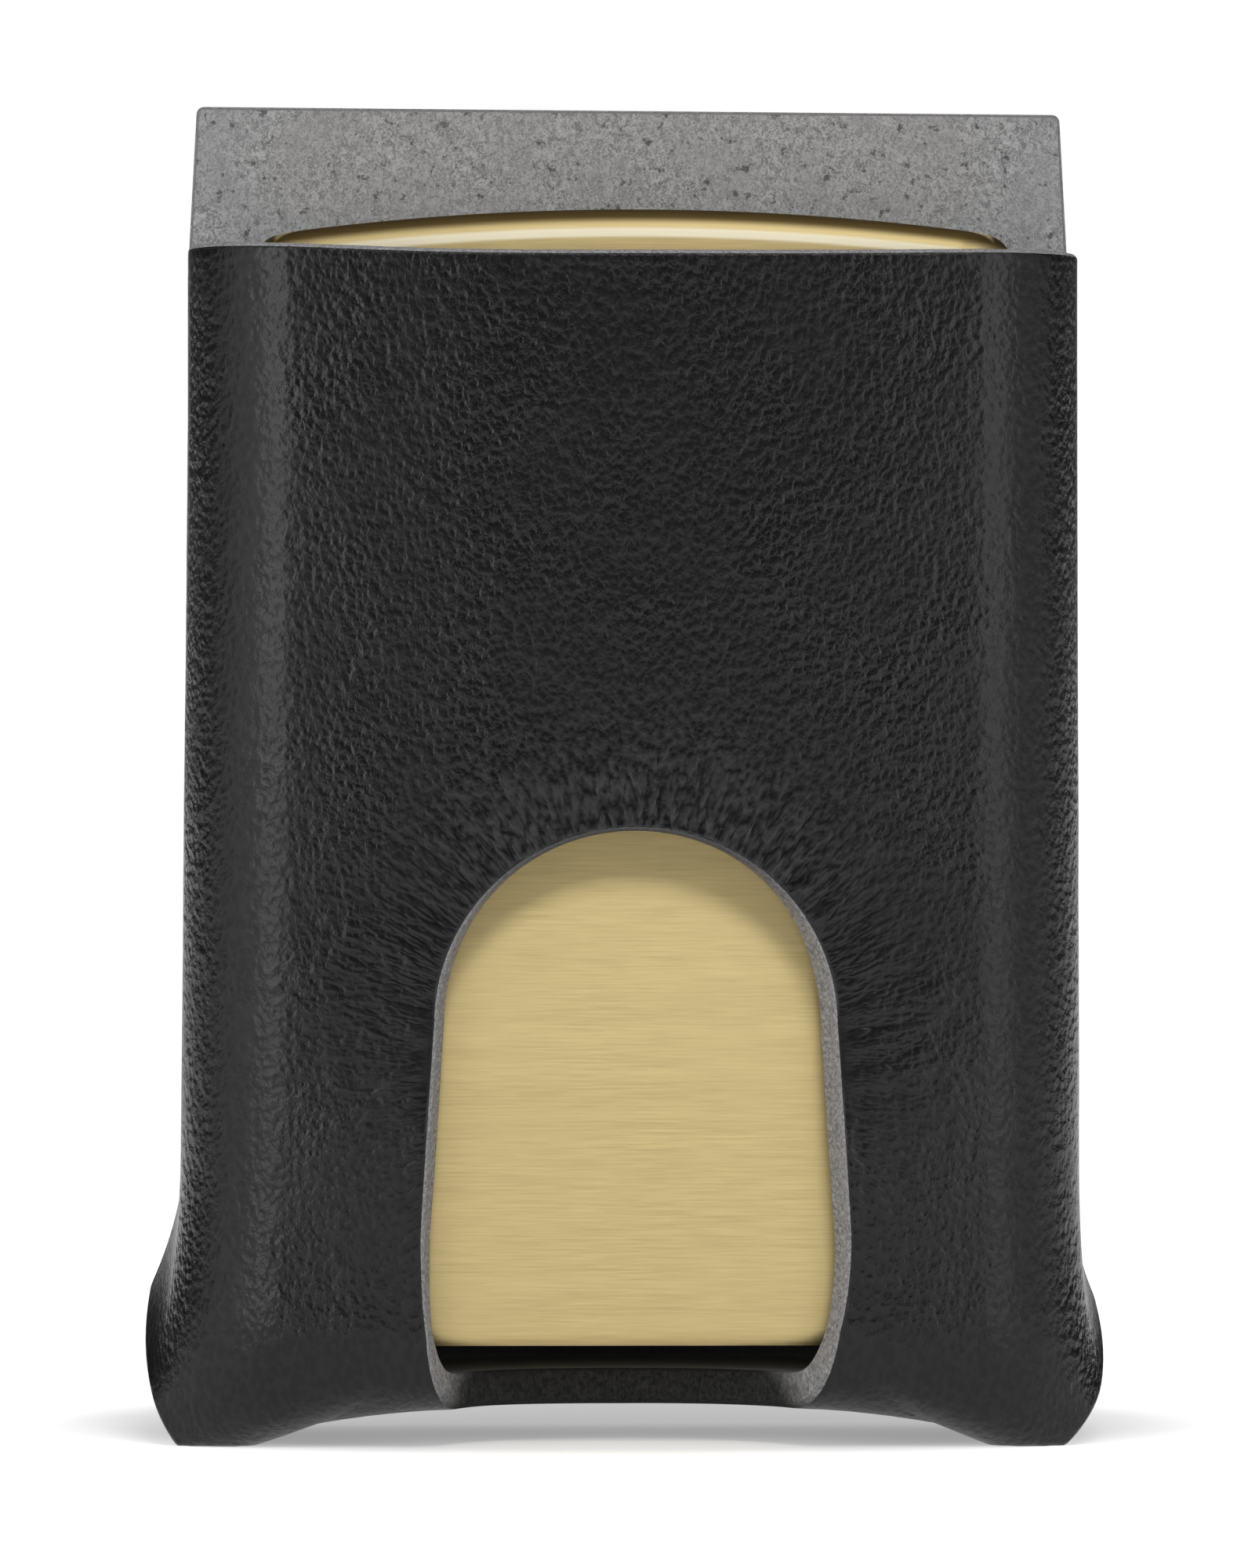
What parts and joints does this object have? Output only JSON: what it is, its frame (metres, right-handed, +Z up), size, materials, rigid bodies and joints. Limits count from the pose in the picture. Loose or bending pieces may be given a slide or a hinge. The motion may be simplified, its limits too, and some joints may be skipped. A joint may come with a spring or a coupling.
{
  "type": "lighter case",
  "caption": "Leather slip case with a thumb hole, folded from one blank, holding a brass flip-top petrol lighter that slides out of its open top.",
  "frame": {"origin": "middle of the whole part's box in X and Y, on the surface it stands on", "axes": "+Z up out of the case's mouth, -Y out of the front with the thumb hole, +X to the right seen from the front"},
  "size_m": [0.0488, 0.0204, 0.0684],
  "materials": {
    "black_leather": "fine pebbled grain outside, raw grey flesh side inside",
    "brushed_brass": "fine level brushing",
    "bright_steel": "bright plate",
    "dark_steel": "dark hardened",
    "flint_grey": "dull pressed metal",
    "cotton": "loose cotton",
    "felt": "pressed felt"
  },
  "bodies": {
    "case": {"leather_case": "black_leather"},
    "lighter": {"lower_shell": "brushed_brass", "lid_shell": "brushed_brass", "hinge_lower_leaf": "brushed_brass", "hinge_lid_leaf": "brushed_brass", "hinge_pin": "bright_steel", "insert_shell": "bright_steel", "chimney": "bright_steel", "wheel_axle": "bright_steel", "cam_axle": "bright_steel", "cam": "bright_steel", "cam_spring": "bright_steel", "flint": "flint_grey", "flint_spring": "bright_steel", "flint_tube": "brushed_brass", "flint_screw": "brushed_brass", "cotton_wadding": "cotton", "felt_pad": "felt", "wick": "cotton"},
    "wheel": {"spark_wheel": "dark_steel"}
  },
  "joints": [
    {"name": "lighter_slide", "type": "slide", "parent": "case", "child": "lighter", "axis": [0, 0, 1], "range_m": [-0.00105, 0.055]},
    {"name": "spark_wheel_spin", "type": "hinge", "parent": "lighter", "child": "wheel", "pos_m": [0.00947, -0.00049, 0.05129], "axis": [0, 1, 0], "continuous": true}
  ]
}
